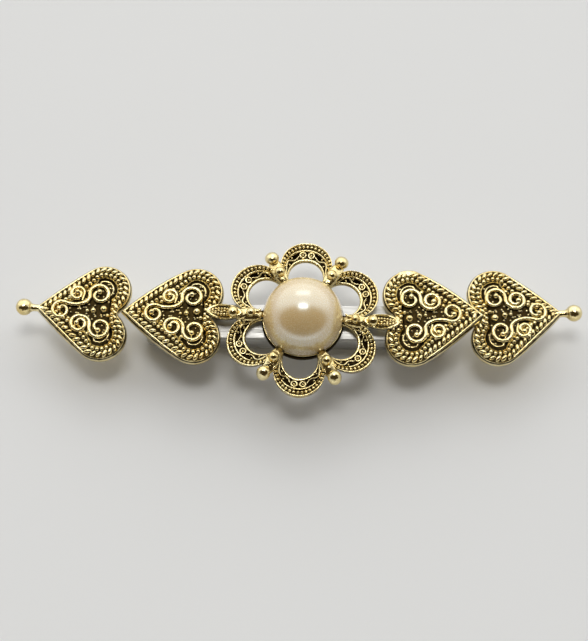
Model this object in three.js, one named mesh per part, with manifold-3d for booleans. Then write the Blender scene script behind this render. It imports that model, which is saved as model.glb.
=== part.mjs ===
// A hair barrette: two pairs of cast filigree hearts and a six-petalled flower with a pearl,
// soldered in a row on a spring clip. It lies on its back: +Z is the decorated face, +X runs
// along the row and +Y points to the flower's top petal. Millimetres. The origin is the middle
// of the footprint, on the surface the clip's arm rests on.
import * as THREE from "three";
import { mergeVertices } from "three/addons/utils/BufferGeometryUtils.js";
import Module from "manifold-3d";

const wasm = await Module();
wasm.setup();

// ---- Driving dimensions -----------------------------------------------------------------

const SEAT = 0.05; // solder film between pieces that lie flat on each other
const DEG = Math.PI / 180;

// Clip
const ARM_THICK = 0.7;
const ARM_HALF_WIDTH = 2.5;
const ARM_LEFT = -27;
const ARM_RIGHT = 25.2;
const ARM_STEP_X = -19.4; // the arm's free end is raised from here, to leave room for the hooks
const ARM_STEP_RUN = 0.9;
const ARM_STEP_RISE = 0.9;
const WINDOW_LEFT = -25.3;
const WINDOW_RIGHT = -20.7;
const WINDOW_HALF_WIDTH = 1.75;

const PIN_X = 23.4;
const PIN_Z = 3.4;
const PIN_RADIUS = 0.5;
const PIN_HALF_LENGTH = 2.45;
const PIN_HOLE_RADIUS = 0.62;
const LUG_RADIUS = 1.15;
const EAR_IN = 1.75; // the arm's two ears, measured out from the middle
const EAR_OUT = 2.25;
const LUG_IN = 1.0; // the bracket's two lugs, inside the ears
const LUG_OUT = 1.5;

const PLATE_TOP = 7.0;
const PLATE_THICK = 0.6;
const PLATE_FLANGE = 0.5; // depth of the turned-down edges
const PLATE_EDGE = 0.45; // thickness of the turned-down edges
const PLATE_HALF_WIDTH = 3.0;
const PLATE_HALF_LENGTH = 25.5;

const BAR_LEFT = -19;
const BAR_RIGHT = 20.4;
const BAR_THICK = 0.4;
const BAR_HALF_WIDTH = 2.0;
const BAR_END_Z = 5.2; // underside of the tension bar at its ends
const BAR_BOW = 0.35; // the bar's middle stands this much closer to the plate

const CATCH_X = -23;
const CATCH_HALF_LENGTH = 2.1;
const CATCH_LOW = 4.3;
const CATCH_STEP_Z = 5.75; // underside of the block's wide top
const CATCH_STEM = 0.8; // half-width below the step
const CATCH_HEAD = 2.3; // half-width above it
const TAB_HALF_LENGTH = 1.8;

// Castings
const INNER_HEART_LENGTH = 17.3;
const OUTER_HEART_LENGTH = 16.2; // its tip runs into the finial
const HEART_LOBE = 4.6; // radius of each round lobe
const HEART_LOBE_OUT = 4.0; // lobe centre, out from the heart's own axis
const HEART_CLEFT = 1.9; // depth of the notch between the lobes
const HEART_BORDER = 2.3; // width of the raised border
const HEART_THICK = 1.9;
const HEART_POCKET = 0.5; // depth of the sunk field inside it
const INNER_HEART_X = 13.7; // lobes of the inner hearts
const INNER_HEART_Z = 7.4; // underside
const INNER_HEART_TURN = 2.6; // degrees, tips towards the top petal
const OUTER_HEART_X = 28.9;
const OUTER_HEART_Y = 0.5;
const OUTER_HEART_Z = 6.4; // the row falls away a little towards its ends
const OUTER_HEART_TURN = 4.0;
const FINIAL_RADIUS = 1.35;
const FINIAL_NECK = 0.6;
const FINIAL_REACH = 1.7; // ball centre, out from the heart's tip
const SOLDER_X = 19.6;
const SOLDER_RADIUS = 1.8;

const PETALS = 6;
const PETAL_OUT = 9.5; // centre of each round petal
const PETAL_RADIUS = 4.4;
const OPENING_OUT = 7.55;
const OPENING_RADIUS = 2.95;
const PETAL_LOW = 7.3;
const PETAL_TOP = 9.3;
const HUB_RADIUS = 7.1;
const HUB_TOP = 8.15;
const CUP_RADIUS = 6.84;
const CUP_DEPTH = 0.6;
const CUP_WALL = 0.12;
const CUP_FLOOR = 0.35;
const CUP_CLEARANCE = 0.6;

const INNER_BALL_OUT = 8.8;
const INNER_BALL_RADIUS = 0.85;
const OUTER_BALL_OUT = 11.7;
const OUTER_BALL_RADIUS = 1.0;
const BALL_Z = 9.75;
const STEM_OUT = 10.4; // the stem under each outer ball
const STEM_RADIUS = 1.0;

const LEAF_LEFT = 10.1;
const LEAF_RIGHT = 16.6;
const LEAF_HALF_WIDTH = 1.4;
const LEAF_LOW = 9.4;
const LEAF_THICK = 0.9;
const LEAF_BORDER = 0.8;
const LEAF_POCKET = 0.3;
const LEAF_BALL_OUT = 11.8;
const LEAF_BALL_RADIUS = 0.95;

const PEARL_RADIUS = 6.75;
const PEARL_Z = 9.5;
const PEARL_FLAT = 8.7; // the pearl is cut flat here
const PEG_RADIUS = 0.6;
const PEG_HOLE_RADIUS = 0.8;
const PEG_TOP = 11.4;

// ---- Materials --------------------------------------------------------------------------

function metal(name, colour, roughness) {
  return new THREE.MeshStandardMaterial({ name, color: colour, metalness: 1, roughness });
}

const GOLD = metal("antique_gold", 0xc9b063, 0.28);
const NICKEL = metal("nickel_clip", 0xc9c8c4, 0.3);
const SPRING = metal("spring_steel", 0xb4b4b0, 0.35);
const PEARL = new THREE.MeshStandardMaterial({
  name: "pearl_coat",
  color: 0xeee6d2,
  metalness: 0,
  roughness: 0.22,
});

// ---- Solids -----------------------------------------------------------------------------

function toSolid(geometry) {
  const bare = geometry.index ? geometry.toNonIndexed() : geometry.clone();
  bare.deleteAttribute("normal");
  bare.deleteAttribute("uv");
  const merged = mergeVertices(bare, 1e-4);
  return new wasm.Manifold(
    new wasm.Mesh({
      numProp: 3,
      vertProperties: new Float32Array(merged.attributes.position.array),
      triVerts: new Uint32Array(merged.index.array),
    }),
  );
}

function toGeometry(solid) {
  const mesh = solid.getMesh();
  const geometry = new THREE.BufferGeometry();
  geometry.setAttribute("position", new THREE.BufferAttribute(mesh.vertProperties, mesh.numProp));
  geometry.setIndex(new THREE.BufferAttribute(mesh.triVerts, 1));
  const faceted = geometry.toNonIndexed();
  faceted.computeVertexNormals();
  return faceted;
}

function join(...solids) {
  return solids.reduce((sum, solid) => sum.add(solid));
}

function block(x0, x1, y0, y1, z0, z1) {
  const box = new THREE.BoxGeometry(x1 - x0, y1 - y0, z1 - z0);
  box.translate((x0 + x1) / 2, (y0 + y1) / 2, (z0 + z1) / 2);
  return toSolid(box);
}

function upright(shape, z0, z1, curveSegments = 12) {
  const geometry = new THREE.ExtrudeGeometry(shape, {
    depth: z1 - z0,
    bevelEnabled: false,
    curveSegments,
  });
  geometry.translate(0, 0, z0);
  return toSolid(geometry);
}

function disc(x, y, radius, z0, z1, sides = 40) {
  const cylinder = new THREE.CylinderGeometry(radius, radius, z1 - z0, sides);
  cylinder.rotateX(90 * DEG);
  cylinder.translate(x, y, (z0 + z1) / 2);
  return toSolid(cylinder);
}

// A round bar along Y.
function crossBar(x, z, radius, y0, y1, sides = 20) {
  const cylinder = new THREE.CylinderGeometry(radius, radius, y1 - y0, sides);
  cylinder.translate(x, (y0 + y1) / 2, z);
  return toSolid(cylinder);
}

function ball(x, y, z, radius, segments = 16) {
  const sphere = new THREE.SphereGeometry(radius, segments, segments / 2 + 2);
  sphere.translate(x, y, z);
  return toSolid(sphere);
}

// A profile drawn in X and Z, given its width along Y.
function sideProfile(points, y0, y1) {
  const shape = new THREE.Shape(points.map(([x, z]) => new THREE.Vector2(x, z)));
  const geometry = new THREE.ExtrudeGeometry(shape, { depth: y1 - y0, bevelEnabled: false });
  geometry.rotateX(90 * DEG);
  geometry.translate(0, y1, 0);
  return toSolid(geometry);
}

// A profile drawn in Y and Z, given its length along X.
function endProfile(points, x0, x1) {
  const shape = new THREE.Shape(points.map(([y, z]) => new THREE.Vector2(y, z)));
  const geometry = new THREE.ExtrudeGeometry(shape, { depth: x1 - x0, bevelEnabled: false });
  geometry.rotateX(90 * DEG);
  geometry.rotateZ(90 * DEG);
  geometry.translate(x0, 0, 0);
  return toSolid(geometry);
}

function stadium(x0, x1, halfWidth, corner) {
  const shape = new THREE.Shape();
  shape.moveTo(x0 + corner, -halfWidth);
  shape.lineTo(x1 - corner, -halfWidth);
  shape.absarc(x1 - corner, -halfWidth + corner, corner, -90 * DEG, 0, false);
  shape.absarc(x1 - corner, halfWidth - corner, corner, 0, 90 * DEG, false);
  shape.absarc(x0 + corner, halfWidth - corner, corner, 90 * DEG, 180 * DEG, false);
  shape.absarc(x0 + corner, -halfWidth + corner, corner, 180 * DEG, 270 * DEG, false);
  return shape;
}

// ---- Clip -------------------------------------------------------------------------------

function claspArm() {
  const step = ARM_STEP_X - ARM_STEP_RUN;
  const strip = sideProfile(
    [
      [ARM_LEFT, ARM_STEP_RISE],
      [step, ARM_STEP_RISE],
      [ARM_STEP_X, 0],
      [ARM_RIGHT, 0],
      [ARM_RIGHT, ARM_THICK],
      [ARM_STEP_X, ARM_THICK],
      [step, ARM_STEP_RISE + ARM_THICK],
      [ARM_LEFT, ARM_STEP_RISE + ARM_THICK],
    ],
    -ARM_HALF_WIDTH,
    ARM_HALF_WIDTH,
  );
  const outline = upright(stadium(ARM_LEFT, ARM_RIGHT, ARM_HALF_WIDTH, 1.4), -1, 3, 5);
  const window = block(WINDOW_LEFT, WINDOW_RIGHT, -WINDOW_HALF_WIDTH, WINDOW_HALF_WIDTH, -1, 3);
  const arm = strip.intersect(outline).subtract(window);
  const ears = [-1, 1].map((side) => {
    const [y0, y1] = side < 0 ? [-EAR_OUT, -EAR_IN] : [EAR_IN, EAR_OUT];
    const post = block(PIN_X - LUG_RADIUS, PIN_X + LUG_RADIUS, y0, y1, ARM_THICK / 2, PIN_Z);
    return join(post, crossBar(PIN_X, PIN_Z, LUG_RADIUS, y0, y1));
  });
  const hole = crossBar(PIN_X, PIN_Z, PIN_HOLE_RADIUS, -5, 5);
  return join(arm, ...ears).subtract(hole);
}

function basePlate() {
  const low = PLATE_TOP - PLATE_THICK - PLATE_FLANGE;
  const web = PLATE_TOP - PLATE_THICK;
  const inner = PLATE_HALF_WIDTH - PLATE_EDGE;
  const channel = endProfile(
    [
      [-PLATE_HALF_WIDTH, low],
      [-inner, low],
      [-inner, web],
      [inner, web],
      [inner, low],
      [PLATE_HALF_WIDTH, low],
      [PLATE_HALF_WIDTH, PLATE_TOP],
      [-PLATE_HALF_WIDTH, PLATE_TOP],
    ],
    -PLATE_HALF_LENGTH,
    PLATE_HALF_LENGTH,
  );
  const rounded = stadium(-PLATE_HALF_LENGTH, PLATE_HALF_LENGTH, PLATE_HALF_WIDTH, 2.2);
  return channel.intersect(upright(rounded, 0, 9, 6));
}

// A strip bowed towards the plate, between two arcs drawn in X and Z.
function tensionBar() {
  const steps = 12;
  const lower = [];
  const upper = [];
  for (let i = 0; i <= steps; i += 1) {
    const t = i / steps;
    const x = BAR_LEFT + (BAR_RIGHT - BAR_LEFT) * t;
    const z = BAR_END_Z + BAR_BOW * Math.sin(Math.PI * t);
    lower.push([x, z]);
    upper.unshift([x, z + BAR_THICK]);
  }
  const strip = sideProfile([...lower, ...upper], -BAR_HALF_WIDTH, BAR_HALF_WIDTH);
  return strip.intersect(upright(stadium(BAR_LEFT, BAR_RIGHT, BAR_HALF_WIDTH, 1.2), 0, 9, 5));
}

function hingeBracket() {
  const top = PLATE_TOP - PLATE_THICK - SEAT;
  const left = PIN_X - LUG_RADIUS;
  const right = PIN_X + LUG_RADIUS;
  const bridge = block(left - 0.6, right, -LUG_OUT, LUG_OUT, top - 0.55, top);
  const lugs = [-1, 1].map((side) => {
    const [y0, y1] = side < 0 ? [-LUG_OUT, -LUG_IN] : [LUG_IN, LUG_OUT];
    const post = block(left, right, y0, y1, PIN_Z, top - 0.2);
    return join(post, crossBar(PIN_X, PIN_Z, LUG_RADIUS, y0, y1));
  });
  return join(bridge, ...lugs).subtract(crossBar(PIN_X, PIN_Z, PIN_HOLE_RADIUS, -5, 5));
}

function hingePin() {
  return crossBar(PIN_X, PIN_Z, PIN_RADIUS, -PIN_HALF_LENGTH, PIN_HALF_LENGTH);
}

// The block that carries the two squeeze tabs, a T in cross-section.
function catchBlock() {
  const top = PLATE_TOP - PLATE_THICK - SEAT;
  return endProfile(
    [
      [-CATCH_STEM, CATCH_LOW],
      [CATCH_STEM, CATCH_LOW],
      [CATCH_STEM, CATCH_STEP_Z],
      [CATCH_HEAD, CATCH_STEP_Z],
      [CATCH_HEAD, top],
      [-CATCH_HEAD, top],
      [-CATCH_HEAD, CATCH_STEP_Z],
      [-CATCH_STEM, CATCH_STEP_Z],
    ],
    CATCH_X - CATCH_HALF_LENGTH,
    CATCH_X + CATCH_HALF_LENGTH,
  );
}

// One squeeze tab: a finger pad bowed out at the side, and a leg down through the arm's window
// that ends in a hook. side is 1 towards +Y and -1 towards -Y.
function catchTab(side) {
  const outline = [
    [1.1, 5.45],
    [1.1, 4.7],
    [2.5, 4.2],
    [1.0, 2.8],
    [0.85, 0.3],
    [1.2, 0.3],
    [1.62, 0.5],
    [1.62, 0.72],
    [1.3, 0.8],
    [1.42, 2.4],
    [3.2, 3.8],
    [3.3, 4.5],
    [2.9, 5.0],
  ];
  const points = outline.map(([y, z]) => [side * y, z]);
  return endProfile(points, CATCH_X - TAB_HALF_LENGTH, CATCH_X + TAB_HALF_LENGTH);
}

// ---- Castings ---------------------------------------------------------------------------

// A heart's outline, drawn with its lobes at x = 0 and its tip at x = length, drawn smaller all
// round by inset.
function heartShape(length, inset = 0) {
  const r = HEART_LOBE - inset;
  const tip = length - inset * 1.55;
  const bend = tip - 5.8;
  const shape = new THREE.Shape();
  shape.moveTo(tip, 0);
  shape.quadraticCurveTo(bend, r + 1.0, HEART_LOBE + r * 0.5, HEART_LOBE_OUT + r * 0.866);
  shape.absarc(HEART_LOBE, HEART_LOBE_OUT, r, 60 * DEG, 230 * DEG, false);
  shape.lineTo(HEART_CLEFT + 0.55 * inset, 0);
  shape.absarc(HEART_LOBE, -HEART_LOBE_OUT, r, 130 * DEG, 300 * DEG, false);
  shape.quadraticCurveTo(bend, -r - 1.0, tip, 0);
  return shape;
}

// A heart with a raised border round a sunk field, its underside at z = 0.
function heart(length) {
  const field = heartShape(length, HEART_BORDER);
  return upright(heartShape(length), 0, HEART_THICK, 10).subtract(
    upright(field, HEART_THICK - HEART_POCKET, HEART_THICK + 1, 10),
  );
}

function finial() {
  const middle = HEART_THICK / 2;
  const base = OUTER_HEART_LENGTH - 1.2;
  const ballX = OUTER_HEART_LENGTH + FINIAL_REACH;
  const stem = new THREE.LatheGeometry(
    [
      new THREE.Vector2(0, base),
      new THREE.Vector2(0.65, base),
      new THREE.Vector2(FINIAL_NECK, OUTER_HEART_LENGTH),
      new THREE.Vector2(FINIAL_NECK * 1.5, ballX - FINIAL_RADIUS + 0.2),
      new THREE.Vector2(0, ballX),
    ],
    14,
  );
  stem.rotateZ(-90 * DEG);
  stem.translate(0, 0, middle);
  return join(toSolid(stem), ball(ballX, 0, middle, FINIAL_RADIUS, 12));
}

function placeInner(solid) {
  return solid.rotate([0, 0, INNER_HEART_TURN]).translate([INNER_HEART_X, 0, INNER_HEART_Z]);
}

function placeOuter(solid) {
  return solid
    .rotate([0, 0, OUTER_HEART_TURN])
    .translate([OUTER_HEART_X, OUTER_HEART_Y, OUTER_HEART_Z]);
}

// side is 1 for the right half of the row and -1 for the left.
function innerHeart(side) {
  const placed = placeInner(heart(INNER_HEART_LENGTH));
  return side > 0 ? placed : placed.mirror([1, 0, 0]);
}

// The tip of the inner heart lies over the cleft of the outer one, which is relieved for it.
function outerHeart(side) {
  const innerTip = upright(heartShape(INNER_HEART_LENGTH, -SEAT), -SEAT, HEART_THICK + 1, 10);
  const casting = placeOuter(join(heart(OUTER_HEART_LENGTH), finial()));
  const relieved = casting.subtract(placeInner(innerTip));
  return side > 0 ? relieved : relieved.mirror([1, 0, 0]);
}

function flowerFrame() {
  const petals = [];
  const openings = [];
  const balls = [];
  for (let i = 0; i < PETALS; i += 1) {
    const petal = (30 + i * 60) * DEG;
    const joint = i * 60 * DEG;
    const [px, py] = [Math.cos(petal), Math.sin(petal)];
    const [jx, jy] = [Math.cos(joint), Math.sin(joint)];
    petals.push(disc(PETAL_OUT * px, PETAL_OUT * py, PETAL_RADIUS, PETAL_LOW, PETAL_TOP, 28));
    openings.push(disc(OPENING_OUT * px, OPENING_OUT * py, OPENING_RADIUS, 5, 12, 22));
    balls.push(ball(INNER_BALL_OUT * jx, INNER_BALL_OUT * jy, BALL_Z, INNER_BALL_RADIUS, 10));
    const onLeaf = i % 3 === 0;
    if (onLeaf) continue;
    balls.push(ball(OUTER_BALL_OUT * jx, OUTER_BALL_OUT * jy, PETAL_TOP, OUTER_BALL_RADIUS, 10));
    const [sx, sy] = [STEM_OUT * jx, STEM_OUT * jy];
    balls.push(disc(sx, sy, STEM_RADIUS, PETAL_LOW + 0.6, PETAL_TOP - 0.2, 12));
  }
  const hub = disc(0, 0, HUB_RADIUS, PLATE_TOP + SEAT, HUB_TOP, 36);
  const seat = disc(0, 0, CUP_RADIUS + CUP_CLEARANCE, HUB_TOP, 14, 36);
  return join(hub, ...petals)
    .subtract(seat)
    .subtract(join(...openings))
    .add(join(...balls));
}

// A pointed leaf with a sunk middle and a ball on its base, side as for the hearts.
function leaf(side) {
  const middle = (LEAF_LEFT + LEAF_RIGHT) / 2;
  const outline = (grow) => {
    const shape = new THREE.Shape();
    shape.moveTo(LEAF_LEFT - grow, 0);
    shape.quadraticCurveTo(middle, -2 * LEAF_HALF_WIDTH - grow, LEAF_RIGHT + grow, 0);
    shape.quadraticCurveTo(middle, 2 * LEAF_HALF_WIDTH + grow, LEAF_LEFT - grow, 0);
    return shape;
  };
  const top = LEAF_LOW + LEAF_THICK;
  const plate = upright(outline(0), LEAF_LOW, top, 8);
  const sunk = upright(outline(-LEAF_BORDER), top - LEAF_POCKET, top + 1, 8);
  const bead = ball(LEAF_BALL_OUT, 0, top - LEAF_POCKET, LEAF_BALL_RADIUS, 12);
  const made = plate.subtract(sunk).add(bead);
  return side > 0 ? made : made.rotate([0, 0, 180]);
}

// ---- Pearl and its seat -----------------------------------------------------------------

function turned(points, segments) {
  const geometry = new THREE.LatheGeometry(
    points.map(([r, z]) => new THREE.Vector2(r, z)),
    segments,
  );
  geometry.rotateX(90 * DEG);
  return toSolid(geometry);
}

function pearlCup() {
  const low = HUB_TOP + SEAT;
  const rim = low + CUP_DEPTH;
  const inside = CUP_RADIUS - CUP_WALL;
  return turned(
    [
      [0, low],
      [inside - CUP_WALL, low],
      [CUP_RADIUS, low + CUP_FLOOR],
      [CUP_RADIUS, rim],
      [inside, rim],
      [inside, low + CUP_FLOOR],
      [0, low + CUP_FLOOR],
    ],
    36,
  );
}

function pearlPeg() {
  return disc(0, 0, PEG_RADIUS, HUB_TOP + SEAT + CUP_FLOOR + SEAT, PEG_TOP, 16);
}

function pearl() {
  const bottom = Math.asin((PEARL_FLAT - PEARL_Z) / PEARL_RADIUS);
  const steps = 12;
  const profile = [
    [0, PEG_TOP + 0.3],
    [PEG_HOLE_RADIUS, PEG_TOP + 0.3],
    [PEG_HOLE_RADIUS, PEARL_FLAT],
  ];
  for (let i = 0; i <= steps; i += 1) {
    const angle = bottom + ((90 * DEG - bottom) * i) / steps;
    const radius = i === steps ? 0 : PEARL_RADIUS * Math.cos(angle);
    profile.push([radius, PEARL_Z + PEARL_RADIUS * Math.sin(angle)]);
  }
  return turned(profile, 32);
}

// The pad of solder between the plate and the underside of an inner heart.
function solderPad(side) {
  return disc(side * SOLDER_X, 0, SOLDER_RADIUS, PLATE_TOP + SEAT, INNER_HEART_Z - SEAT, 20);
}

// ---- Assembly ---------------------------------------------------------------------------

function mesh(name, solid, material) {
  const made = new THREE.Mesh(toGeometry(solid), material);
  made.name = name;
  return made;
}

const front = new THREE.Group();
front.add(
  mesh("heart_outer_left", outerHeart(-1), GOLD),
  mesh("heart_inner_left", innerHeart(-1), GOLD),
  mesh("heart_inner_right", innerHeart(1), GOLD),
  mesh("heart_outer_right", outerHeart(1), GOLD),
  mesh("leaf_left", leaf(-1), GOLD),
  mesh("leaf_right", leaf(1), GOLD),
  mesh("flower_frame", flowerFrame(), GOLD),
  mesh("pearl_cup", pearlCup(), GOLD),
  mesh("pearl_peg", pearlPeg(), GOLD),
  mesh("pearl", pearl(), PEARL),
  mesh("base_plate", basePlate(), NICKEL),
  mesh("solder_pad_left", solderPad(-1), NICKEL),
  mesh("solder_pad_right", solderPad(1), NICKEL),
  mesh("hinge_bracket", hingeBracket(), NICKEL),
  mesh("hinge_pin", hingePin(), NICKEL),
  mesh("catch_block", catchBlock(), NICKEL),
);

const clip = new THREE.Group();
clip.add(
  mesh("clasp_arm", claspArm(), NICKEL),
  mesh("tension_bar", tensionBar(), SPRING),
  mesh("catch_tab_front", catchTab(-1), SPRING),
  mesh("catch_tab_rear", catchTab(1), SPRING),
);

const barrette = new THREE.Group();
barrette.add(front, clip);

export default barrette;
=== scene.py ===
import math

import bpy
import numpy as np
from mathutils import Matrix, Vector


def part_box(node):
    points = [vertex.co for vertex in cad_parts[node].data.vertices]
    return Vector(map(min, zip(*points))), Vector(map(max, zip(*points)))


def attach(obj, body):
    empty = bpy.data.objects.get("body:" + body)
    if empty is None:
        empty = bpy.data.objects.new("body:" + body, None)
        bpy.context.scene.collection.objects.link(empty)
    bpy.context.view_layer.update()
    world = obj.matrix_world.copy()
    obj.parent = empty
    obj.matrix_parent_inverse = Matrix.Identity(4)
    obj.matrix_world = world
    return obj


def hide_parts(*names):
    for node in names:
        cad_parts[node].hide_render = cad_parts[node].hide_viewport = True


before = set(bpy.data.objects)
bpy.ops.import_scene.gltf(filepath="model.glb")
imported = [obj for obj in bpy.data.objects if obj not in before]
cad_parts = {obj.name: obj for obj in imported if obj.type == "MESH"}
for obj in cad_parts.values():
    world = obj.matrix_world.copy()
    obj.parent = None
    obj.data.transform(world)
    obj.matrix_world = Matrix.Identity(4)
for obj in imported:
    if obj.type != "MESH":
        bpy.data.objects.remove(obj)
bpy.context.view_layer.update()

bl_info = {
    "name": "Filigree Barrette",
    "version": (1, 0, 0),
    "blender": (4, 5, 0),
    "location": "3D View > Sidebar > Barrette",
    "description": "Models a cast filigree barrette with a pearl on a hinged spring clip",
    "category": "Add Mesh",
}

MM = 0.001
DEG = math.radians(1)
# the relief attribute paints the recesses dark: dark patina with painted shade, darkest at the lowest
# points
RELIEF = "relief"  # point attribute: 0 in the dark recesses, 1 on the rubbed crests


# ---- Sizes and colours a user would change ----------------------------------------------

def length(name, description, default):
    """A length in millimetres."""
    return bpy.props.FloatProperty(name=name, description=description, default=default)


def colour(name, description, default):
    return bpy.props.FloatVectorProperty(
        name=name, description=description, default=default, size=3, subtype="COLOR", min=0, max=1
    )


class BarretteHeartSizes(bpy.types.PropertyGroup):
    inner_length: length("Inner length", "Lobes to tip of the inner hearts, mm", 17.3)
    outer_length: length("Outer length", "Lobes to tip of the outer hearts, mm", 16.2)
    lobe: length("Lobe radius", "Radius of a heart's round lobes, mm", 4.6)
    lobe_out: length("Lobe centre", "Distance of a lobe's centre from the heart's axis, mm", 4.0)
    cleft: length("Cleft", "Depth of the notch between the lobes, mm", 1.9)
    inner_turn: bpy.props.FloatProperty(
        name="Inner turn", description="Turn of the inner hearts", default=2.6 * DEG, subtype="ANGLE"
    )
    outer_turn: bpy.props.FloatProperty(
        name="Outer turn", description="Turn of the outer hearts", default=4.0 * DEG, subtype="ANGLE"
    )
    inner_rise: length("Inner rise", "Inner hearts, towards the top petal, mm", 0.2)
    outer_rise: length("Outer rise", "Outer hearts, towards the top petal, mm", 0.75)
    dome: length("Dome", "How far the middle of a heart stands up, mm", 0.5)
    rope_in: length("Rope inset", "Middle of the rope border, in from the edge, mm", 0.98)
    rope_pitch: length("Rope pitch", "Distance between the rope's strands, mm", 0.98)
    bead_in: length("Bead inset", "Middle of the bead row, in from the edge, mm", 1.82)
    bead_pitch: length("Bead pitch", "Distance between beads, mm", 0.84)
    bead_radius: length("Bead radius", "Radius of a bead in the row, mm", 0.37)
    scroll_wire: length("Scroll wire", "Radius of the scrolls' wire, mm", 0.35)


class BarretteFlowerSizes(bpy.types.PropertyGroup):
    petals: bpy.props.IntProperty(name="Petals", description="Round petals", default=6, min=3)
    petal_out: length("Petal centre", "Middle of the flower to a petal's centre, mm", 9.5)
    petal_radius: length("Petal radius", "Outer radius of a petal, mm", 4.4)
    opening_out: length("Opening centre", "Middle of the flower to an opening's centre, mm", 7.55)
    opening_radius: length("Opening radius", "Radius of a petal's opening, mm", 2.95)
    dish: length("Dish", "How far a petal falls towards its opening, mm", 1.15)
    arch: length("Arch", "How far the flower's middle stands up, mm", 1.2)
    turn: bpy.props.FloatProperty(
        name="Turn", description="Turn of the whole flower", default=-3.2 * DEG, subtype="ANGLE"
    )
    bead_pitch: length("Bead pitch", "Distance between the petals' edge beads, mm", 0.7)
    ball_out: length("Inner ball", "Middle of the flower to the inner balls, mm", 8.85)
    far_ball_out: length("Outer ball", "Middle of the flower to the outer balls, mm", 11.95)
    far_ball_radius: length("Outer ball radius", "Radius of the outer balls, mm", 1.2)


class BarrettePearlSizes(bpy.types.PropertyGroup):
    cup_wall: length("Cup wall", "Thickness of the pearl's cup, mm", 0.15)


class BarretteFinish(bpy.types.PropertyGroup):
    gold: colour("Gold", "Rubbed gold", (0.84, 0.73, 0.41))
    # dark patina with painted shade: the colour given to the recesses and low points
    patina_and_shade: colour("Patina", "Dark antiquing in the recesses", (0.020, 0.013, 0.004))
    nickel: colour("Nickel", "Plate on the clip", (0.54, 0.53, 0.50))
    spring: colour("Spring steel", "Tension bar and tabs", (0.46, 0.45, 0.43))
    pearl: colour("Pearl", "Body colour of the pearl", (0.74, 0.55, 0.27))
    table: colour("Table", "Pale surface under the object", (0.80, 0.80, 0.79))


class BarretteStage(bpy.types.PropertyGroup):
    elevation: bpy.props.FloatProperty(
        name="Elevation", description="Camera above the table", default=70 * DEG, subtype="ANGLE"
    )
    roll: bpy.props.FloatProperty(
        name="Roll", description="Camera about its own axis", default=0.65 * DEG, subtype="ANGLE"
    )
    distance: bpy.props.FloatProperty(
        name="Distance", description="Camera to the flower", default=0.29, unit="LENGTH"
    )
    tall: bpy.props.FloatProperty(
        name="Height seen", description="Height of the picture at the flower", default=0.1086, unit="LENGTH"
    )
    aside: length("Aside", "Middle of the picture, to the right of the flower, mm", -1.5)
    below: length("Below", "Middle of the picture, below the flower, mm", 0.4)


def sizes():
    return bpy.context.scene


# ---- Modelling helpers ------------------------------------------------------------------

def let_go():
    """Leaves edit mode and deselects everything."""
    if bpy.context.object and bpy.context.object.mode != "OBJECT":
        bpy.ops.object.mode_set(mode="OBJECT")
    bpy.ops.object.select_all(action="DESELECT")


def pick(*pieces):
    let_go()
    for piece in pieces:
        piece.select_set(True)
    bpy.context.view_layer.objects.active = pieces[0]
    return pieces[0]


def edit(piece, select="SELECT", kind="VERT"):
    pick(piece)
    bpy.ops.object.mode_set(mode="EDIT")
    bpy.ops.mesh.select_mode(type=kind)
    bpy.ops.mesh.select_all(action=select)


def close_up(piece):
    """Merges doubles, fills open ends and turns the faces outwards."""
    edit(piece)
    bpy.ops.mesh.remove_doubles(threshold=1e-4)
    bpy.ops.mesh.select_all(action="DESELECT")
    bpy.ops.mesh.select_mode(type="EDGE")
    bpy.ops.mesh.select_non_manifold(
        extend=False, use_wire=False, use_boundary=True, use_multi_face=False,
        use_non_contiguous=False, use_verts=False,
    )
    bpy.ops.mesh.fill_holes(sides=0)
    bpy.ops.mesh.select_all(action="SELECT")
    bpy.ops.mesh.normals_make_consistent(inside=False)
    bpy.ops.object.mode_set(mode="OBJECT")
    return piece


def wrapped(name, around, along, place):
    """A grid wrapped into a closed tube: place(i, j) is the point i of around on section j."""
    let_go()
    bpy.ops.mesh.primitive_grid_add(x_subdivisions=around, y_subdivisions=along - 1, size=1)
    piece = bpy.context.object
    piece.name = name
    for vertex in piece.data.vertices:
        j, i = divmod(vertex.index, around + 1)
        vertex.co = place(i % around, j)
    return close_up(piece)


def wire(name, points, radius, thin_start=1.0, thin_end=1.0, sides=2, closed=False):
    """A round wire along points, thinner at its ends."""
    let_go()
    curve = bpy.data.curves.new(name, "CURVE")
    curve.dimensions = "3D"
    curve.bevel_depth = radius
    curve.bevel_resolution = sides
    curve.use_fill_caps = not closed
    spline = curve.splines.new("POLY")
    spline.points.add(len(points) - 1)
    spline.use_cyclic_u = closed
    last = len(points) - 1
    for k, (point, co) in enumerate(zip(spline.points, points)):
        point.co = (*co, 1)
        t = k / last
        point.radius = 1 - (1 - thin_start) * max(0, 1 - 5 * t) - (1 - thin_end) * max(0, 5 * t - 4)
    piece = bpy.data.objects.new(name, curve)
    bpy.context.collection.objects.link(piece)
    pick(piece)
    bpy.ops.object.convert(target="MESH")
    piece = bpy.context.object
    return close_up(piece)


def ball(name, centre, radius, segments=24, squash=1.0):
    let_go()
    bpy.ops.mesh.primitive_uv_sphere_add(
        segments=segments, ring_count=max(6, segments * 2 // 3), radius=radius, location=(0, 0, 0)
    )
    piece = bpy.context.object
    piece.name = name
    piece.data.transform(Matrix.Translation(centre) @ Matrix.Diagonal((1, 1, squash, 1)))
    return piece


def mark(piece, low, high, top=1.0):
    """Writes the relief attribute: 0 below low, rising to top at high. The low points get the dark patina
    with painted shade.
    """
    values = np.empty(len(piece.data.vertices) * 3)
    piece.data.vertices.foreach_get("co", values)
    height = values.reshape(-1, 3)[:, 2]
    relief = np.clip((height - low) / max(high - low, 1e-6), 0, 1) * top
    attribute = piece.data.attributes.get(RELIEF)
    if attribute is None:
        attribute = piece.data.attributes.new(RELIEF, "FLOAT", "POINT")
    attribute.data.foreach_set("value", relief.astype(np.float32))
    return piece


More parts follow.
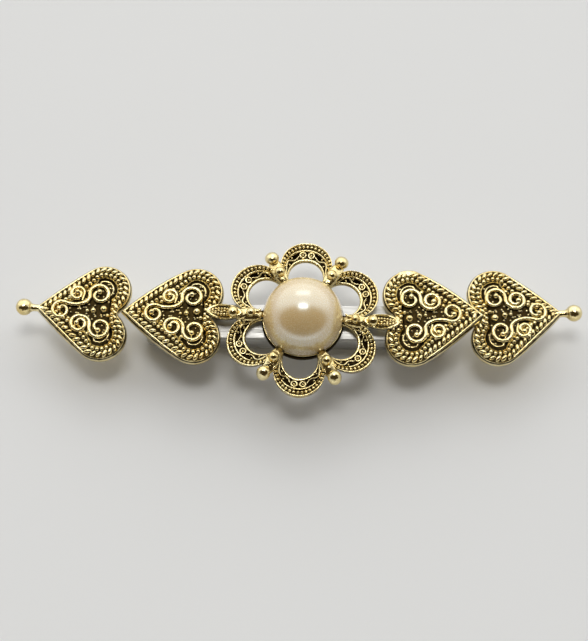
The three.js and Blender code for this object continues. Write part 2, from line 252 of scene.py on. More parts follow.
def stamp(master, places):
    """One copy of master, with its own mesh, at each place. The master is used up."""
    copies = []
    for place in places:
        copy = master.copy()
        copy.data = master.data.copy()
        copy.data.transform(place)
        bpy.context.collection.objects.link(copy)
        copies.append(copy)
    bpy.data.objects.remove(master)
    return copies


def gather(name, parts):
    """Joins parts into one piece."""
    piece = pick(*parts)
    bpy.ops.object.join()
    piece = bpy.context.object
    piece.name = name
    piece.data.name = name
    return piece


def smooth(piece, angle=50):
    pick(piece)
    bpy.ops.object.shade_smooth_by_angle(angle=angle * DEG, keep_sharp_edges=False)
    return piece


def finish_piece(piece, material, slot, body, *nodes):
    """Turns millimetres into metres and hands the piece to the frame."""
    piece.data.transform(Matrix.Diagonal((MM, MM, MM, 1)))
    piece.data.materials.clear()
    piece.data.materials.append(material)
    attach(piece, body)
    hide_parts(*nodes)
    return piece


def box_mm(node):
    low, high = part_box(node)
    return low / MM, high / MM


def along_line(points, pitch, closed=True):
    """Evenly spaced (point, direction) pairs along a line of 2-D points."""
    line = np.array(points, float)
    if closed:
        line = np.vstack([line, line[:1]])
    steps = np.linalg.norm(np.diff(line, axis=0), axis=1)
    reach = np.concatenate([[0], np.cumsum(steps)])
    count = max(2, round(reach[-1] / pitch))
    at = (np.arange(count) + 0.5) * reach[-1] / count
    xs = np.interp(at, reach, line[:, 0])
    ys = np.interp(at, reach, line[:, 1])
    ahead = np.clip(at + 0.05, 0, reach[-1])
    behind = np.clip(at - 0.05, 0, reach[-1])
    dx = np.interp(ahead, reach, line[:, 0]) - np.interp(behind, reach, line[:, 0])
    dy = np.interp(ahead, reach, line[:, 1]) - np.interp(behind, reach, line[:, 1])
    return [((x, y), math.atan2(v, u)) for x, y, u, v in zip(xs, ys, dx, dy)]


def bezier(p0, p1, p2, p3, count=14):
    ts = np.linspace(0, 1, count)[:, None]
    p0, p1, p2, p3 = (np.array(p, float) for p in (p0, p1, p2, p3))
    mid = 3 * ts * (1 - ts) ** 2 * p1 + 3 * ts**2 * (1 - ts) * p2
    return ((1 - ts) ** 3 * p0 + mid + ts**3 * p3).tolist()


# ---- Materials --------------------------------------------------------------------------

def new_material(name):
    material = bpy.data.materials.new(name)
    material.use_nodes = True
    tree = material.node_tree
    shader = tree.nodes["Principled BSDF"]
    return material, tree, shader


def noise(tree, scale, detail=3, roughness=0.5, stretch=None):
    """A noise on object coordinates, scale in features per metre."""
    coords = tree.nodes.new("ShaderNodeTexCoord")
    texture = tree.nodes.new("ShaderNodeTexNoise")
    texture.inputs["Scale"].default_value = scale
    texture.inputs["Detail"].default_value = detail
    texture.inputs["Roughness"].default_value = roughness
    if stretch:
        mapping = tree.nodes.new("ShaderNodeMapping")
        mapping.inputs["Scale"].default_value = stretch
        tree.links.new(coords.outputs["Object"], mapping.inputs["Vector"])
        tree.links.new(mapping.outputs["Vector"], texture.inputs["Vector"])
    else:
        tree.links.new(coords.outputs["Object"], texture.inputs["Vector"])
    return texture.outputs["Fac"]


def ramp(tree, factor, *stops):
    node = tree.nodes.new("ShaderNodeValToRGB")
    elements = node.color_ramp.elements
    while len(elements) < len(stops):
        elements.new(0.5)
    for element, (place, value) in zip(elements, stops):
        element.position = place
        element.color = (*value, 1) if hasattr(value, "__len__") else (value, value, value, 1)
    tree.links.new(factor, node.inputs["Fac"])
    return node.outputs["Color"]


def blend_values(tree, kind, a, b):
    node = tree.nodes.new("ShaderNodeMath")
    node.operation = kind
    tree.links.new(a, node.inputs[0])
    if hasattr(b, "links"):
        tree.links.new(b, node.inputs[1])
    else:
        node.inputs[1].default_value = b
    return node.outputs[0]


def mix_colours(tree, factor, a, b, kind="MIX"):
    node = tree.nodes.new("ShaderNodeMix")
    node.data_type = "RGBA"
    node.blend_type = kind
    for value, socket in ((factor, node.inputs[0]), (a, node.inputs[6]), (b, node.inputs[7])):
        if hasattr(value, "links"):
            tree.links.new(value, socket)
        elif hasattr(value, "__len__"):
            socket.default_value = (*value, 1)
        else:
            socket.default_value = value
    return node.outputs[2]


def bump(tree, shader, height, strength, distance):
    node = tree.nodes.new("ShaderNodeBump")
    node.inputs["Strength"].default_value = strength
    node.inputs["Distance"].default_value = distance
    tree.links.new(height, node.inputs["Height"])
    tree.links.new(node.outputs["Normal"], shader.inputs["Normal"])


def antique_gold():
    """Pale gold plate, rubbed bright on the crests, with dark patina and painted shade in the recesses."""
    finish = sizes().barrette_finish
    material, tree, shader = new_material("rubbed_and_shaded_gold")
    relief = tree.nodes.new("ShaderNodeAttribute")
    relief.attribute_name = RELIEF
    cloud = noise(tree, 800, 4, 0.6)
    centred = blend_values(tree, "SUBTRACT", cloud, 0.5)
    spread = blend_values(tree, "MULTIPLY", centred, 0.9)
    wear_and_shade = blend_values(tree, "ADD", relief.outputs["Fac"], spread)
    bare_and_unshaded = ramp(tree, wear_and_shade, (0.26, 0.0), (0.58, 1.0))
    patches = noise(tree, 260, 2, 0.5)
    warm = tuple(c * f for c, f in zip(finish.gold, (0.93, 0.84, 0.66)))
    plate = mix_colours(tree, ramp(tree, patches, (0.35, 0.0), (0.7, 1.0)), tuple(finish.gold), warm)
    # where the relief attribute is low the gold turns to the dark colour: patina with painted shade
    base = mix_colours(tree, bare_and_unshaded, tuple(finish.patina_and_shade), plate)
    tree.links.new(base, shader.inputs["Base Color"])
    shader.inputs["Metallic"].default_value = 1
    grain = noise(tree, 2600, 3, 0.6)
    rough = mix_colours(tree, bare_and_unshaded, (0.3, 0.3, 0.3), ramp(tree, grain, (0.3, 0.08), (0.75, 0.2)))
    tree.links.new(rough, shader.inputs["Roughness"])
    bump(tree, shader, noise(tree, 1300, 4, 0.55), 0.7, 0.0002)
    return material


def plated_nickel(name, colour_value, roughness, lines):
    """Plated strip with fine lines from rolling along its length."""
    material, tree, shader = new_material(name)
    shader.inputs["Metallic"].default_value = 1
    streaks = noise(tree, 400, 4, 0.6, (lines, 9.0, 3.0))
    cloud = noise(tree, 180, 3)
    dull = tuple(c * 0.82 for c in colour_value)
    base = mix_colours(tree, ramp(tree, cloud, (0.35, 0.0), (0.7, 1.0)), tuple(colour_value), dull)
    tree.links.new(base, shader.inputs["Base Color"])
    rough = ramp(tree, streaks, (0.3, roughness * 0.75), (0.75, roughness * 1.4))
    tree.links.new(rough, shader.inputs["Roughness"])
    bump(tree, shader, streaks, 0.12, 0.00005)
    return material


def pearl_coat():
    """Glass bead under a nacre lacquer: cream, with a broad satin gloss under a clear one."""
    finish = sizes().barrette_finish
    material, tree, shader = new_material("nacre")
    cloud = noise(tree, 120, 3)
    body = tuple(finish.pearl)
    rosy = (body[0] * 1.04, body[1] * 0.94, body[2] * 0.86)
    base = mix_colours(tree, ramp(tree, cloud, (0.35, 0.0), (0.68, 1.0)), body, rosy)
    tree.links.new(base, shader.inputs["Base Color"])
    shader.inputs["IOR"].default_value = 2.45
    shader.inputs["Specular Tint"].default_value = (0.66, 0.9, 0.98, 1)
    grain = noise(tree, 4000, 3, 0.6)
    tree.links.new(ramp(tree, grain, (0.3, 0.24), (0.75, 0.3)), shader.inputs["Roughness"])
    shader.inputs["Coat Weight"].default_value = 1.0
    shader.inputs["Coat Roughness"].default_value = 0.17
    shader.inputs["Coat IOR"].default_value = 1.9
    bump(tree, shader, noise(tree, 700, 2), 0.04, 0.0002)
    return material


def table_top():
    finish = sizes().barrette_finish
    material, tree, shader = new_material("pale_table")
    cloud = noise(tree, 14, 3)
    pale = tuple(finish.table)
    dimmer = tuple(channel * 0.985 for channel in pale)
    base = mix_colours(tree, ramp(tree, cloud, (0.3, 0.0), (0.8, 1.0)), pale, dimmer)
    tree.links.new(base, shader.inputs["Base Color"])
    shader.inputs["Roughness"].default_value = 0.6
    shader.inputs["Specular IOR Level"].default_value = 0.25
    return material


def made(name, make, *args):
    """The material of that name, made once."""
    return bpy.data.materials.get(name) or make(*args)


def gold():
    return made("rubbed_and_shaded_gold", antique_gold)


def nickel():
    finish = sizes().barrette_finish
    return made("rolled_nickel", plated_nickel, "rolled_nickel", tuple(finish.nickel), 0.46, 0.6)


def spring_steel():
    finish = sizes().barrette_finish
    return made("rolled_spring", plated_nickel, "rolled_spring", tuple(finish.spring), 0.34, 0.4)


# ---- Hearts -----------------------------------------------------------------------------

def heart_line(long, inset, side_steps=18, lobe_steps=26, notch_steps=3):
    """A heart's outline, inset all round: lobes at x = 0, tip at x = long, tip first."""
    group = sizes().barrette_heart
    lobe, lobe_out = group.lobe, group.lobe_out
    r = lobe - inset
    tip = Vector((long - inset * 1.55, 0))
    shoulder = Vector((lobe + r * 0.5, lobe_out + r * math.sin(60 * DEG)))
    bend = Vector((tip.x - 5.8, r + 1.0))
    upper = []
    for k in range(side_steps):
        t = k / side_steps
        upper.append((1 - t) ** 2 * tip + 2 * t * (1 - t) * bend + t * t * shoulder)
    for k in range(lobe_steps + 1):
        a = (60 + 170 * k / lobe_steps) * DEG
        upper.append(Vector((lobe + r * math.cos(a), lobe_out + r * math.sin(a))))
    last = upper[-1]
    notch = Vector((group.cleft + 0.55 * inset, 0))
    upper += [last.lerp(notch, k / notch_steps) for k in range(1, notch_steps + 1)]
    return upper + [Vector((p.x, -p.y)) for p in reversed(upper[1:-1])]


# Inset and height across a heart, from the middle of its back to the edge of its field.
HEART_SECTION = [
    (2.6, 0.75), (1.9, 0.70), (1.2, 0.1), (0.5, 0.0), (0.1, 0.06), (0.0, 0.25), (0.02, 0.7),
    (0.16, 1.2), (0.3, 1.42), (0.44, 1.46), (0.54, 1.36), (0.6, 1.22), (1.5, 1.22), (2.1, 1.24),
    (2.18, 1.4), (2.3, 1.5), (2.42, 1.4), (2.54, 1.2), (2.8, 1.14), (3.4, 1.14),
]
FIELD = 1.14  # height of the sunk field, mm
BORDER = 1.4  # height of the middle of the rope and the beads, mm

# Scrolls on the field: centre along and across the heart, radius, angle where the wire comes
# in, turns inwards, and +1 for anticlockwise.
SCROLLS = {
    "tip": ((11.6, 0.2), 1.42, -112 * DEG, 1.25, 1),
    "low_far": ((9.0, -2.85), 1.12, 165 * DEG, 1.35, 1),
    "low_near": ((5.4, -3.0), 1.6, 14 * DEG, 1.3, -1),
    "high_far": ((8.3, 2.45), 1.3, -84 * DEG, 1.25, 1),
    "high_near": ((4.85, 3.1), 1.6, -6 * DEG, 1.25, 1),
}
# Stems that run from one scroll into the next, with how far each end is led out straight.
STEMS = [("tip", "low_near", 1.9, 1.5), ("high_far", "high_near", 1.0, 1.3)]
# Small balls among the scrolls: place and radius.
DROPS = [
    ((4.35, -0.4), 0.66), ((6.05, 0.0), 0.5), ((7.1, 0.1), 0.34), ((3.6, 0.7), 0.36),
    ((10.4, -1.9), 0.36), ((7.2, -3.4), 0.4), ((6.65, 4.2), 0.36), ((10.2, 1.7), 0.34),
]


def scroll_line(key, count=40):
    """Points of a scroll from its outer end, once round, and in to its eye."""
    (x, y), radius, start, turns, way = SCROLLS[key]
    points = []
    for k in range(count):
        t = k / (count - 1)
        inward = max(0, (t - 0.4) / 0.6)
        r = radius * (1 - 0.74 * inward * inward * (3 - 2 * inward))
        a = start + way * 2 * math.pi * turns * t
        points.append((x + r * math.cos(a), y + r * math.sin(a)))
    return points


def led_out(key, reach):
    """The scroll's outer end and a point led straight back out of it."""
    (x, y), radius, start, _turns, way = SCROLLS[key]
    end = (x + radius * math.cos(start), y + radius * math.sin(start))
    back = start - way * 90 * DEG
    return end, (end[0] + reach * math.cos(back), end[1] + reach * math.sin(back))


def scroll_wires(height):
    """The raised scrolls, each with a ball for an eye, linked in pairs by their stems."""
    radius = sizes().barrette_heart.scroll_wire
    parts = []
    linked = set()
    for first, second, reach_a, reach_b in STEMS:
        end_a, out_a = led_out(first, reach_a)
        end_b, out_b = led_out(second, reach_b)
        run = scroll_line(first)[::-1] + bezier(end_a, out_a, out_b, end_b)[1:-1] + scroll_line(second)
        parts.append(wire("scroll", [(x, y, height) for x, y in run], radius, 0.75, 0.75))
        linked |= {first, second}
    for key in SCROLLS:
        if key not in linked:
            _end, out = led_out(key, 0.9)
            run = [out] + scroll_line(key)
            parts.append(wire("scroll", [(x, y, height) for x, y in run], radius, 0.5, 0.75))
    for key in SCROLLS:
        x, y = scroll_line(key)[-1]
        parts.append(ball("eye", (x, y, height), radius * 1.45, 14))
    return parts


def pebbles(long):
    """Fine pebbles over the field, between the scrolls."""
    group = sizes().barrette_heart
    taken = [point for key in SCROLLS for point in scroll_line(key, 30)]
    for first, second, reach_a, reach_b in STEMS:
        end_a, out_a = led_out(first, reach_a)
        end_b, out_b = led_out(second, reach_b)
        taken += bezier(end_a, out_a, out_b, end_b)
    taken += [place for place, _r in DROPS]
    taken = np.array(taken, float)
    edge = np.array(heart_line(long, 2.75), float)
    spots = []
    pitch = 0.62
    for row in range(-9, 10):
        for column in range(24):
            x = 2.6 + pitch * (column + 0.5 * (row % 2)) + 0.16 * math.sin(row * 5.1 + column * 3.7)
            y = pitch * 0.87 * row + 0.16 * math.sin(row * 2.3 + column * 6.1)
            spot = np.array((x, y))
            clear = np.linalg.norm(taken - spot, axis=1).min()
            kept = math.sin(row * 12.9 + column * 78.2) > -0.35
            if kept and clear > group.scroll_wire + 0.17 and inside(spot, edge):
                spots.append((x, y))
    return spots


def inside(spot, line):
    """Whether a point lies inside a closed line."""
    x, y = spot
    x0, y0 = line[:, 0], line[:, 1]
    x1, y1 = np.roll(x0, -1), np.roll(y0, -1)
    crosses = (y0 > y) != (y1 > y)
    with np.errstate(divide="ignore", invalid="ignore"):
        at = x0 + (y - y0) * (x1 - x0) / (y1 - y0)
    return bool(np.count_nonzero(crosses & (x < at)) % 2)


def filigree_heart(name, long):
    """A heart casting with its lobes at x = 0 and its tip at x = long, back at z = 0."""
    group = sizes().barrette_heart
    lines = [heart_line(long, inset) for inset, _z in HEART_SECTION]
    around = len(lines[0])

    def section_point(i, j):
        return (*lines[j][i], HEART_SECTION[j][1])

    plate = wrapped("plate", around, len(lines), section_point)
    mark(plate, FIELD + 0.12, FIELD + 0.3)
    lift_back(plate, 1.05, 0.85)
    parts = [plate]

    strand = ball("strand", (0, 0, 0), 1, 12)
    strand.data.transform(Matrix.Diagonal((0.68, 0.35, 0.36, 1)))
    mark(strand, -0.16, 0.12)
    slant = 44 * DEG
    places = []
    rope = along_line(heart_line(long, group.rope_in), group.rope_pitch)
    for k, ((x, y), angle) in enumerate(rope):
        spot = Matrix.Translation((x, y, BORDER + 0.05 * math.sin(k * 2.7)))
        uneven = Matrix.Scale(1 + 0.1 * math.sin(k * 1.9), 4)
        turn = angle + slant + 9 * DEG * math.sin(k * 3.3)
        places.append(spot @ Matrix.Rotation(turn, 4, "Z") @ uneven)
    parts += stamp(strand, places)

    bead = ball("bead", (0, 0, 0), group.bead_radius, 12)
    mark(bead, -0.12, 0.16)
    row = along_line(heart_line(long, group.bead_in), group.bead_pitch)
    parts += stamp(bead, [Matrix.Translation((x, y, BORDER)) for (x, y), _angle in row])

    pebble = ball("pebble", (0, 0, 0), 0.24, 8)
    mark(pebble, 0.04, 0.22, 0.6)
    parts += stamp(pebble, [Matrix.Translation((x, y, FIELD + 0.02)) for x, y in pebbles(long)])

    raised = scroll_wires(FIELD + 0.36)
    # a second rib follows each lobe inside the beads
    lobe = [(*point, FIELD + 0.1) for point in heart_line(long, 3.1) if 0 < point.x < 7 and point.y > 1.6]
    raised.append(wire("contour", lobe, 0.17, 0.5, 0.5))
    raised.append(wire("contour", [(x, -y, z) for x, y, z in lobe], 0.17, 0.5, 0.5))
    raised += [ball("drop", (x, y, FIELD + 0.2), r, 14) for (x, y), r in DROPS]
    for part in raised:
        mark(part, FIELD + 0.1, FIELD + 0.4)
    heart = gather(name, parts + raised)
    for vertex in heart.data.vertices:
        x, y, _z = vertex.co
        fall = ((x - 0.42 * long) / (0.6 * long)) ** 2 + (y / (0.55 * long)) ** 2
        vertex.co.z += group.dome * max(0, 1 - fall)
    return smooth(heart, 60)


def lift_back(piece, top, value):
    """Gives everything below top one relief value: the side wall and the back."""
    attribute = piece.data.attributes[RELIEF]
    for vertex in piece.data.vertices:
        if vertex.co.z < top:
            attribute.data[vertex.index].value = value


def finial(long, reach, radius):
    """The ball and neck that end the row, starting inside the heart's tip."""
    outline = [
        (long - 2.4, 0.3), (long - 0.8, 0.6), (long - 0.2, 0.6), (reach - 2.25 * radius, 0.58),
        (reach - 2.0 * radius, 0.66), (reach - 1.78 * radius, 0.85),
    ]
    for k in range(14):
        a = (140 - 140 * k / 13) * DEG
        outline.append((reach - radius + radius * math.cos(a), radius * math.sin(a) + 0.02))
    around = 28

    def turned_point(i, j):
        x, r = outline[j]
        a = 2 * math.pi * i / around
        return (x, r * math.cos(a), 0.95 + r * math.sin(a))

    piece = wrapped("finial", around, len(outline), turned_point)
    return smooth(mark(piece, -3, -2), 60)


def place_casting(piece, side, turn, place):
    """Turns a casting and puts it in the row. side is 1 on the right and -1 on the left."""
    facing = 0 if side > 0 else math.pi
    spot = Vector(place)
    spot.x *= side
    piece.data.transform(Matrix.Translation(spot) @ Matrix.Rotation(facing + side * turn, 4, "Z"))
    return piece


HEART_SETBACK = 0.15  # the hearts' lobes start this far out from the solids' boxes, mm
OUTER_LEFT_SHIFT = 0.8  # the left outer heart sits this much further out, mm
OUTER_RIGHT_SHIFT = -0.5  # and the right one this much further in
OUTER_LIFT = 0.4  # height of the outer hearts' backs over the solids' lowest point, mm
FINIAL_BALL = 1.42  # radius of the ball that ends the row, mm


class BARRETTE_OT_hearts(bpy.types.Operator):
    """Models the four filigree hearts and the finials that end the row"""

    bl_idname = "barrette.hearts"
    bl_label = "Filigree hearts"

    def execute(self, context):
        group = context.scene.barrette_heart
        inner_low, inner_high = box_mm("heart_inner_right")
        outer_low, outer_high = box_mm("heart_outer_right")
        inner_long = group.inner_length
        outer_long = group.outer_length
        reach = (outer_high.x - outer_low.x) / math.cos(group.outer_turn) - 0.1
        for side, label in ((-1, "left"), (1, "right")):
            inner = filigree_heart(f"filigree_heart_inner_{label}", inner_long)
            if side > 0:
                inner = gather(inner.name, [inner, casting_blob()])
            spot = (inner_low.x + HEART_SETBACK, group.inner_rise, inner_low.z)
            place_casting(inner, side, group.inner_turn, spot)
            finish_piece(inner, gold(), "antique_gold", "front", f"heart_inner_{label}")

            outer = filigree_heart(f"filigree_heart_outer_{label}", outer_long)
            outer = gather(outer.name, [outer, finial(outer_long, reach, FINIAL_BALL)])
            out = outer_low.x + HEART_SETBACK + (OUTER_LEFT_SHIFT if side < 0 else OUTER_RIGHT_SHIFT)
            spot = (out, group.outer_rise, outer_low.z + OUTER_LIFT)
            place_casting(outer, side, group.outer_turn, spot)
            finish_piece(outer, gold(), "antique_gold", "front", f"heart_outer_{label}")
        return {"FINISHED"}


def casting_blob():
    """A smooth lump left by the caster on one lobe's edge."""
    blob = ball("blob", (0, 0, 0), 1, 20)
    blob.data.transform(
        Matrix.Translation((4.6, 7.85, 1.25)) @ Matrix.Diagonal((1.9, 0.7, 0.5, 1))
    )
    return smooth(mark(blob, -3, -2), 60)


# ---- Flower -----------------------------------------------------------------------------

# Height against place across a petal: 0 on its outer edge, 1 on the edge of its opening.
PETAL_SECTION = [
    (0.06, 7.75), (0.0, 7.85), (0.0, 8.5), (0.02, 8.68), (0.06, 8.72), (0.1, 8.64), (0.12, 8.44),
    (0.34, 8.44), (0.37, 8.6), (0.41, 8.66), (0.45, 8.58), (0.48, 8.42), (0.82, 8.42), (0.86, 8.6),
    (0.93, 8.68), (1.0, 8.54), (1.0, 8.1), (0.94, 8.0),
]
PETAL_FLOOR = 8.43  # height of the dark ground between the petals' raised lines, mm
PETAL_SPREAD = 136 * DEG  # how far round each side of a petal reaches


def petal_point(angle, share, z):
    """A point on a petal that points along +X."""
    group = sizes().barrette_flower
    way = Vector((math.cos(angle), math.sin(angle)))
    outer = Vector((group.petal_out, 0)) + group.petal_radius * way
    inner = Vector((group.opening_out, 0)) + group.opening_radius * way
    return (*outer.lerp(inner, share), z)


def dish(piece):
    """Lowers a petal towards its opening."""
    group = sizes().barrette_flower
    middle = Vector((group.petal_out, 0))
    opening = Vector((group.opening_out, 0))
    for vertex in piece.data.vertices:
        out = max(0, group.petal_radius - (vertex.co.xy - middle).length)
        into = max(0, (vertex.co.xy - opening).length - group.opening_radius)
        vertex.co.z -= group.dish * out / max(out + into, 1e-3)
    return piece


def petal():
    steps = 49
    spread = [PETAL_SPREAD * (2 * j / (steps - 1) - 1) for j in range(steps)]

    def section_point(i, j):
        share, z = PETAL_SECTION[i]
        return petal_point(spread[j], share, z)

    low, high = PETAL_FLOOR, PETAL_FLOOR + 0.25
    band = mark(wrapped("band", len(PETAL_SECTION), steps, section_point), low, high)
    lift_back(band, 8.2, 0.8)
    parts = [band]

    group = sizes().barrette_flower
    bead = mark(ball("edge_bead", (0, 0, 0), 0.29, 10), -0.1, 0.1)
    reach = 122 * DEG
    edge = [petal_point(reach * (k / 30 - 1), 0.23, 0)[:2] for k in range(61)]
    row = along_line(edge, group.bead_pitch, closed=False)
    parts += stamp(bead, [Matrix.Translation((x, y, 8.52)) for (x, y), _angle in row])

    raised = []
    for side in (-1, 1):
        x, y, z = petal_point(side * 12 * DEG, 0.65, PETAL_FLOOR + 0.12)
        ring = [(x + 0.48 * math.cos(a), y + 0.48 * math.sin(a), z)
                for a in np.linspace(0, 2 * math.pi, 19)[:-1]]
        raised.append(wire("ring", ring, 0.16, closed=True))
        raised.append(ball("dot", (x, y, z), 0.2, 10))
        tendril = []
        for k in range(36):
            t = k / 35
            angle = side * (24 + 92 * t) * DEG
            tendril.append(petal_point(angle, 0.65 + 0.12 * math.sin(t * 11.0), PETAL_FLOOR + 0.1))
        raised.append(wire("tendril", tendril, 0.14, 0.6, 0.4))
        for k in range(6):
            angle = side * (31 + 15 * k) * DEG
            share = 0.56 if k % 2 else 0.75
            raised.append(ball("seed", petal_point(angle, share, PETAL_FLOOR + 0.06), 0.2, 8))
    for part in raised:
        mark(part, low, high)
    return dish(gather("petal", parts + raised))


def junction(far_ball, near_radius):
    """The balls between two petals, on their web, along +X."""
    group = sizes().barrette_flower
    web = ball("web", (0, 0, 0), 1, 20)
    web.data.transform(Matrix.Translation((9.4, 0, 8.05)) @ Matrix.Diagonal((2.9, 1.25, 0.75, 1)))
    parts = [mark(web, 7.3, 8.9)]
    near = ball("near_ball", (group.ball_out, 0, 9.1), near_radius)
    parts.append(mark(near, 8.6, 9.0))
    if far_ball:
        far = ball("far_ball", (group.far_ball_out, 0, 8.75), group.far_ball_radius)
        parts.append(mark(far, 8.2, 8.6))
    return gather("junction", parts)


def hub():
    """The ring under the pearl's cup that ties the petals together."""
    outline = [(2.0, 7.1), (6.6, 7.1), (7.0, 7.3), (7.0, 7.95), (6.8, 8.12), (2.0, 8.12)]
    around = 64

    def turned_point(i, j):
        r, z = outline[j]
        a = 2 * math.pi * i / around
        return (r * math.cos(a), r * math.sin(a), z)

    # the whole ring lies below the low height, so all of it gets the dark patina with painted shade
    return mark(wrapped("hub", around, len(outline), turned_point), 8.2, 9.0)


def arch(piece, lift, reach):
    """Raises a flower's middle so that its petals fall away outwards."""
    for vertex in piece.data.vertices:
        out = max(0, vertex.co.xy.length - 6) / (reach - 6)
        vertex.co.z += lift * max(0, 1 - out * out)
    return piece


class BARRETTE_OT_flower(bpy.types.Operator):
    """Models the pierced flower with its balls"""

    bl_idname = "barrette.flower"
    bl_label = "Flower frame"

    def execute(self, context):
        count = context.scene.barrette_flower.petals
        half = 180 * DEG / count
        turns = [Matrix.Rotation(2 * k * half, 4, "Z") for k in range(count)]
        parts = stamp(petal(), [turn @ Matrix.Rotation(half, 4, "Z") for turn in turns])
        leafed = [turn for k, turn in enumerate(turns) if k % 3 == 0]
        free = [turn for k, turn in enumerate(turns) if k % 3]
        parts += stamp(junction(False, 0.8), leafed)
        parts += stamp(junction(True, 0.92), free)
        for side in (-1, 1):
            for way in (-1, 1):
                prong = [(side * 8.1, way * 0.2, 8.9), (side * 7.5, way * 0.4, 9.0),
                         (side * 7.15, way * 0.7, 9.1)]
                claw = wire("claw", prong, 0.24, 1, 0.6, sides=3)
                parts.append(mark(claw, 8.4, 8.7))
        low, high = box_mm("flower_frame")
        flower = arch(gather("petals", parts), context.scene.barrette_flower.arch, high.y)
        flower = smooth(gather("pierced_flower", [flower, hub()]), 60)
        turn = Matrix.Rotation(context.scene.barrette_flower.turn, 4, "Z")
        flower.data.transform(turn)
        finish_piece(flower, gold(), "antique_gold", "front", "flower_frame")
        return {"FINISHED"}


# ---- Leaves -----------------------------------------------------------------------------

LEAF_SECTION = [
    (0.6, 0.1), (0.92, 0.0), (1.0, 0.12), (1.0, 0.5), (0.96, 0.68), (0.86, 0.76), (0.76, 0.66),
    (0.70, 0.46), (0.4, 0.52),
]


def leaf(left, right, half_width, low):
    """A pointed leaf with a smooth raised edge and a pebbled middle."""
    middle = (left + right) / 2
    reach = (right - left) / 2
    around = 56

    def section_point(i, j):
        share, z = LEAF_SECTION[j]
        a = 2 * math.pi * i / around
        x = math.cos(a)
        y = math.copysign(abs(math.sin(a)) ** 1.35, math.sin(a))
        return (middle + reach * x * share, half_width * y * share, low + z)

    blade = mark(wrapped("blade", around, len(LEAF_SECTION), section_point), low + 0.5, low + 0.7)
    lift_back(blade, low + 0.3, 0.7)
    parts = [blade]
    for k in range(7):
        x = left + 2.7 + 0.5 * k
        room = half_width * (1 - ((x - middle) / reach) ** 2) * 0.5
        for y in (-room * 0.72, 0.1 * (-1) ** k, room * 0.72):
            parts.append(ball("pebble", (x, y, low + 0.52), 0.27, 8))
    for part in parts[1:]:
        mark(part, low + 0.5, low + 0.68)
    knob = ball("knob", (left + 1.75, 0, low + 0.6), 1.02)
    parts.append(mark(knob, low + 0.3, low + 0.7))
    return parts


class BARRETTE_OT_leaves(bpy.types.Operator):
    """Models the leaf that ties the flower to the hearts on each side"""

    bl_idname = "barrette.leaves"
    bl_label = "Leaves"

    def execute(self, context):
        low, high = box_mm("leaf_right")
        for side, label in ((-1, "left"), (1, "right")):
            piece = gather(f"veined_leaf_{label}", leaf(low.x, high.x, high.y, low.z))
            place_casting(smooth(piece, 60), side, side * context.scene.barrette_flower.turn, (0, 0, 0))
            finish_piece(piece, gold(), "antique_gold", "front", f"leaf_{label}")
        return {"FINISHED"}


# ---- Pearl ------------------------------------------------------------------------------

class BARRETTE_OT_pearl(bpy.types.Operator):
    """Models the pearl, cut flat underneath, and the cup that holds it"""

    bl_idname = "barrette.pearl"
    bl_label = "Pearl and cup"

    def execute(self, context):
        low, high = box_mm("pearl")
        middle = (low + high) / 2
        radius = (high.x - low.x) / 2
        let_go()
        bpy.ops.mesh.primitive_uv_sphere_add(
            segments=128, ring_count=80, radius=radius, location=(0, 0, 0)
        )
        piece = bpy.context.object
        piece.name = "lustre_pearl"
        edit(piece)
        bpy.ops.mesh.bisect(
            plane_co=(0, 0, low.z - (high.z - radius)), plane_no=(0, 0, 1), use_fill=True, clear_inner=True
        )
        bpy.ops.object.mode_set(mode="OBJECT")
        piece.data.transform(Matrix.Translation((0, middle.y, high.z - radius)))
        smooth(piece, 40)
        material = made("nacre", pearl_coat)
        finish_piece(piece, material, "pearl_coat", "front", "pearl")

        low, high = box_mm("pearl_cup")
        rim = (high.x - low.x) / 2
        inside_rim = rim - context.scene.barrette_pearl.cup_wall
        outline = [
            (1.0, low.z), (inside_rim - 0.4, low.z), (rim - 0.08, low.z + 0.3), (rim, low.z + 0.5),
            (rim, high.z - 0.08), (rim - 0.04, high.z), (inside_rim + 0.04, high.z),
            (inside_rim, high.z - 0.06), (inside_rim, low.z + 0.4), (1.0, low.z + 0.4),
        ]
        around = 96

        def turned_point(i, j):
            r, z = outline[j]
            a = 2 * math.pi * i / around
            return (r * math.cos(a), middle.y + r * math.sin(a), z)

        cup = wrapped("pearl_bezel", around, len(outline), turned_point)
        smooth(mark(cup, low.z - 0.4, low.z + 1.4), 50)
        finish_piece(cup, gold(), "antique_gold", "front", "pearl_cup")
        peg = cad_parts["pearl_peg"]
        peg.data.materials.clear()
        peg.data.materials.append(nickel())
        return {"FINISHED"}


# ---- Clip -------------------------------------------------------------------------------

# Node, body, bevel width in mm, and whether it is spring steel.
CLIP_PIECES = [
    ("base_plate", "front", 0.16, False),
    ("solder_pad_left", "front", 0.12, False),
    ("solder_pad_right", "front", 0.12, False),
    ("hinge_bracket", "front", 0.1, False),
    ("hinge_pin", "front", 0.1, False),
    ("catch_block", "front", 0.12, False),
    ("clasp_arm", "arm", 0.14, False),
    ("tension_bar", "tension", 0.1, True),
    ("catch_tab_front", "front_tab", 0.08, True),
    ("catch_tab_rear", "rear_tab", 0.08, True),
]


def softened(node, width):
    """A copy of a clip node with its flat faces whole and its edges rounded."""
    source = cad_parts[node]
    piece = bpy.data.objects.new("smooth_" + node, source.data.copy())
    bpy.context.collection.objects.link(piece)
    edit(piece)
    bpy.ops.mesh.remove_doubles(threshold=1e-6)
    bpy.ops.mesh.dissolve_limited(angle_limit=1 * DEG)
    bpy.ops.object.mode_set(mode="OBJECT")
    bevel = piece.modifiers.new("edges", "BEVEL")
    bevel.width = width * MM
    bevel.segments = 3
    bevel.limit_method = "ANGLE"
    bevel.angle_limit = 32 * DEG
    bevel.use_clamp_overlap = True
    bpy.ops.object.modifier_apply(modifier=bevel.name)
    return smooth(piece, 35)


